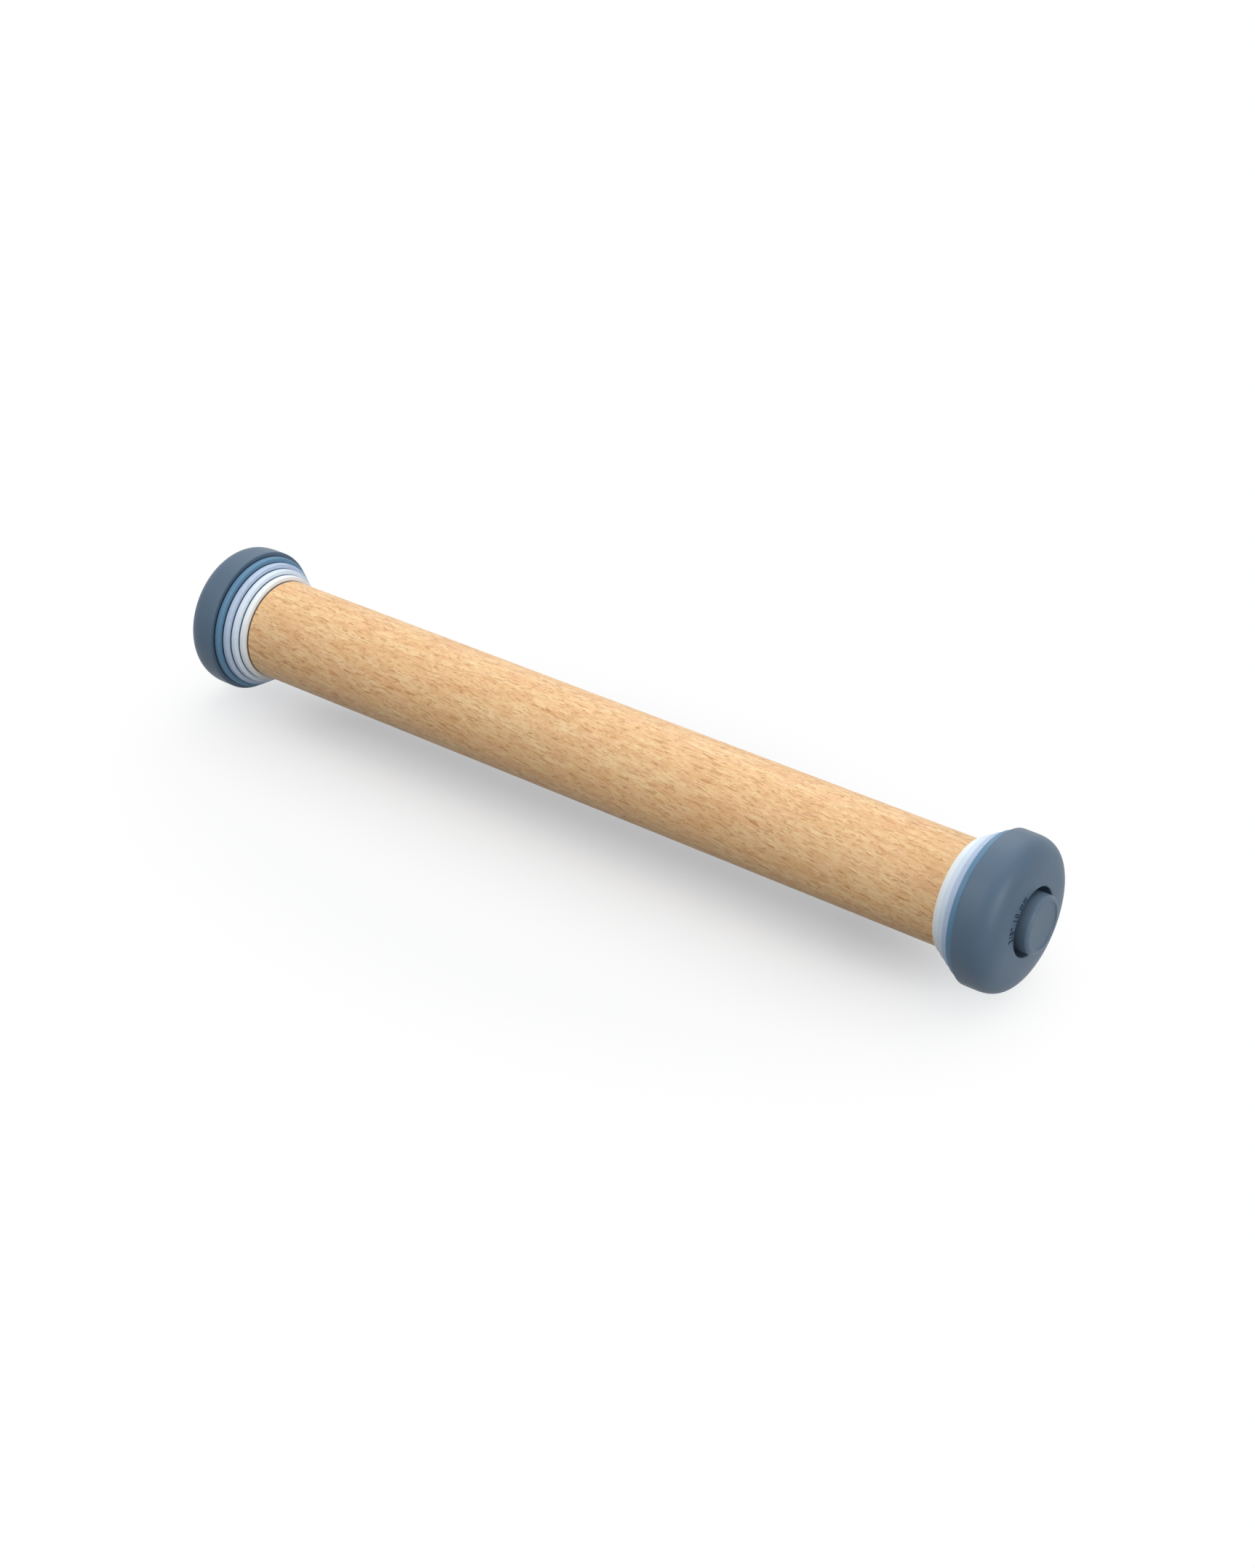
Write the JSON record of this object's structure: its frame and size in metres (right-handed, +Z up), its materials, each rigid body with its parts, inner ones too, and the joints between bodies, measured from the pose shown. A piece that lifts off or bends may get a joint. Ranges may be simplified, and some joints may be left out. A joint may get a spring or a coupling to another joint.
{
  "type": "adjustable rolling pin",
  "caption": "Straight beech rolling pin with stepped thickness discs on each end, clamped by a screw-in end knob that lets the discs be taken off to set the dough's thickness.",
  "frame": {"origin": "middle of the pin, on its axis", "axes": "+X along the pin's axis towards the right end, +Z up, with the pin lying on its two largest discs"},
  "size_m": [0.4322, 0.0648, 0.0648],
  "materials": {
    "beech": "fine sanded beech, oiled, grain along the pin",
    "insert_plastic": "plain moulded grey plastic",
    "white_plastic": "satin white",
    "pale_blue_plastic": "satin pale blue",
    "lavender_plastic": "satin lavender blue",
    "mid_blue_plastic": "satin mid blue",
    "slate_plastic": "satin slate blue",
    "knob_plastic": "satin slate blue"
  },
  "bodies": {
    "pin": {"roller": "beech", "threaded_insert_right": "insert_plastic", "threaded_insert_left": "insert_plastic"},
    "disc_2mm_right": {"disc_2mm_right": "white_plastic"},
    "disc_4mm_right": {"disc_4mm_right": "pale_blue_plastic"},
    "disc_6mm_right": {"disc_6mm_right": "lavender_plastic"},
    "disc_8mm_right": {"disc_8mm_right": "mid_blue_plastic"},
    "disc_10mm_right": {"disc_10mm_right": "slate_plastic"},
    "end_knob_right": {"end_knob_right": "knob_plastic"},
    "disc_2mm_left": {"disc_2mm_left": "white_plastic"},
    "disc_4mm_left": {"disc_4mm_left": "pale_blue_plastic"},
    "disc_6mm_left": {"disc_6mm_left": "lavender_plastic"},
    "disc_8mm_left": {"disc_8mm_left": "mid_blue_plastic"},
    "disc_10mm_left": {"disc_10mm_left": "slate_plastic"},
    "end_knob_left": {"end_knob_left": "knob_plastic"}
  },
  "joints": [
    {"name": "disc_2mm_slide_right", "type": "slide", "parent": "pin", "child": "disc_2mm_right", "axis": [1, 0, 0], "range_m": [0, 0.005]},
    {"name": "disc_4mm_slide_right", "type": "slide", "parent": "pin", "child": "disc_4mm_right", "axis": [1, 0, 0], "range_m": [0, 0.01]},
    {"name": "disc_6mm_slide_right", "type": "slide", "parent": "pin", "child": "disc_6mm_right", "axis": [1, 0, 0], "range_m": [0, 0.015]},
    {"name": "disc_8mm_slide_right", "type": "slide", "parent": "pin", "child": "disc_8mm_right", "axis": [1, 0, 0], "range_m": [0, 0.02]},
    {"name": "disc_10mm_slide_right", "type": "slide", "parent": "pin", "child": "disc_10mm_right", "axis": [1, 0, 0], "range_m": [0, 0.025]},
    {"name": "knob_turn_right", "type": "hinge", "parent": "disc_10mm_right", "child": "end_knob_right", "pos_m": [0.205, 0, 0], "axis": [1, 0, 0], "range_deg": [0, 1800]},
    {"name": "disc_2mm_slide_left", "type": "slide", "parent": "pin", "child": "disc_2mm_left", "axis": [-1, 0, 0], "range_m": [0, 0.005]},
    {"name": "disc_4mm_slide_left", "type": "slide", "parent": "pin", "child": "disc_4mm_left", "axis": [-1, 0, 0], "range_m": [0, 0.01]},
    {"name": "disc_6mm_slide_left", "type": "slide", "parent": "pin", "child": "disc_6mm_left", "axis": [-1, 0, 0], "range_m": [0, 0.015]},
    {"name": "disc_8mm_slide_left", "type": "slide", "parent": "pin", "child": "disc_8mm_left", "axis": [-1, 0, 0], "range_m": [0, 0.02]},
    {"name": "disc_10mm_slide_left", "type": "slide", "parent": "pin", "child": "disc_10mm_left", "axis": [-1, 0, 0], "range_m": [0, 0.025]},
    {"name": "knob_turn_left", "type": "hinge", "parent": "disc_10mm_left", "child": "end_knob_left", "pos_m": [-0.205, 0, 0], "axis": [-1, 0, 0], "range_deg": [0, 1800]}
  ],
  "couplings": [
    {"joint": "disc_2mm_slide_right", "follows": "disc_10mm_slide_right", "ratio": 0.2},
    {"joint": "disc_4mm_slide_right", "follows": "disc_10mm_slide_right", "ratio": 0.4},
    {"joint": "disc_6mm_slide_right", "follows": "disc_10mm_slide_right", "ratio": 0.6},
    {"joint": "disc_8mm_slide_right", "follows": "disc_10mm_slide_right", "ratio": 0.8},
    {"joint": "knob_turn_right", "follows": "disc_10mm_slide_right", "rad_per_m": 1256.6},
    {"joint": "disc_2mm_slide_left", "follows": "disc_10mm_slide_left", "ratio": 0.2},
    {"joint": "disc_4mm_slide_left", "follows": "disc_10mm_slide_left", "ratio": 0.4},
    {"joint": "disc_6mm_slide_left", "follows": "disc_10mm_slide_left", "ratio": 0.6},
    {"joint": "disc_8mm_slide_left", "follows": "disc_10mm_slide_left", "ratio": 0.8},
    {"joint": "knob_turn_left", "follows": "disc_10mm_slide_left", "rad_per_m": 1256.6}
  ]
}
